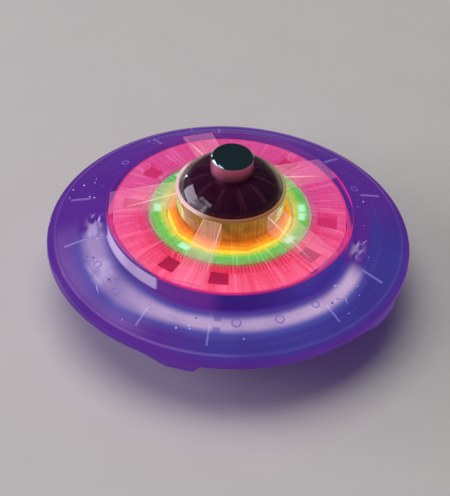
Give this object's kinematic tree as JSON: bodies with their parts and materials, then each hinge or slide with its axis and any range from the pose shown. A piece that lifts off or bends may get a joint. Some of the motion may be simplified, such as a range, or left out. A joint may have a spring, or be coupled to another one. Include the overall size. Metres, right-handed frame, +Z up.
{
  "type": "light up spinning top",
  "caption": "Disc-shaped light-up spinning top with a clear stepped shell over coloured light rings, a smoked dome, a metal finger knob and a ball tip.",
  "frame": {"origin": "lowest point of the ball tip, on the spin axis, where the top touches the table", "axes": "+Z up along the spin axis towards the metal knob; +X through one shell post and the spin switch"},
  "size_m": [0.08, 0.08, 0.0372],
  "materials": {
    "clear_violet_plastic": "clear violet-tinted moulding, polished",
    "dark_tray_plastic": "dark moulded plastic",
    "smoked_plastic": "smoked purple-black, polished",
    "petal_plastic": "dark moulded plastic",
    "bezel_plastic": "pale translucent trim",
    "plated_steel": "polished nickel plate",
    "steel": "bright steel",
    "brass": "turned brass",
    "white_ring_plastic": "frosted light guide, lit white",
    "red_ring_plastic": "frosted light guide, lit pink-red",
    "green_ring_plastic": "frosted light guide, lit green",
    "amber_ring_plastic": "frosted light guide, lit amber",
    "white_plastic": "white reflector plastic",
    "board": "green solder mask",
    "black_plastic": "moulded epoxy",
    "capacitor_ceramic": "tan ceramic with tinned ends",
    "contact_plate": "nickel-plated strip",
    "cell_steel": "bright steel can",
    "white_lamp": "moulded lamp body, clear lens",
    "red_lamp": "moulded lamp body, tinted lens",
    "green_lamp": "moulded lamp body, tinted lens",
    "amber_lamp": "moulded lamp body, tinted lens"
  },
  "bodies": {
    "root": {"amber_led_1": "amber_lamp", "amber_led_2": "amber_lamp", "amber_light_ring": "amber_ring_plastic", "bottom_shell": "dark_tray_plastic", "button_cell_1": "cell_steel", "button_cell_2": "cell_steel", "button_cell_3": "cell_steel", "cell_link": "contact_plate", "circuit_board": "board", "dome_bezel": "bezel_plastic", "dome_cover": "smoked_plastic", "dome_petals": "petal_plastic", "driver_chip": "black_plastic", "green_led_1": "green_lamp", "green_led_2": "green_lamp", "green_led_3": "green_lamp", "green_light_ring": "green_ring_plastic", "negative_contact": "contact_plate", "positive_contact": "contact_plate", "red_led_1": "red_lamp", "red_led_2": "red_lamp", "red_led_3": "red_lamp", "red_led_4": "red_lamp", "red_light_ring": "red_ring_plastic", "reflector_deck": "white_plastic", "resistor_1": "black_plastic", "resistor_2": "black_plastic", "shell_screws": "steel", "spindle": "steel", "spindle_nut": "steel", "spindle_washer": "steel", "switch_contact": "brass", "switch_housing": "black_plastic", "switch_spring": "steel", "timing_capacitor": "capacitor_ceramic", "tip_holder": "brass", "top_knob": "plated_steel", "top_shell": "clear_violet_plastic", "white_led_1": "white_lamp", "white_led_2": "white_lamp", "white_led_3": "white_lamp", "white_light_ring": "white_ring_plastic"},
    "tip_ball": {"tip_ball": "steel"},
    "switch_weight": {"switch_weight": "brass"},
    "battery_door": {"battery_door": "dark_tray_plastic", "door_screws": "steel", "door_contact": "contact_plate"}
  },
  "joints": [
    {"name": "tip_ball_roll", "type": "hinge", "parent": "root", "child": "tip_ball", "pos_m": [0, 0, 0.002], "axis": [0, 0, 1], "continuous": true},
    {"name": "spin_switch_slide", "type": "slide", "parent": "root", "child": "switch_weight", "axis": [1, 0, 0], "range_m": [0, 0.0015], "stiffness_N_per_m": 8, "springref_m": -0.0005, "deforming": ["switch_spring"]},
    {"name": "battery_door_off", "type": "slide", "parent": "root", "child": "battery_door", "axis": [0, 0, -1], "range_m": [0, 0.012]}
  ]
}
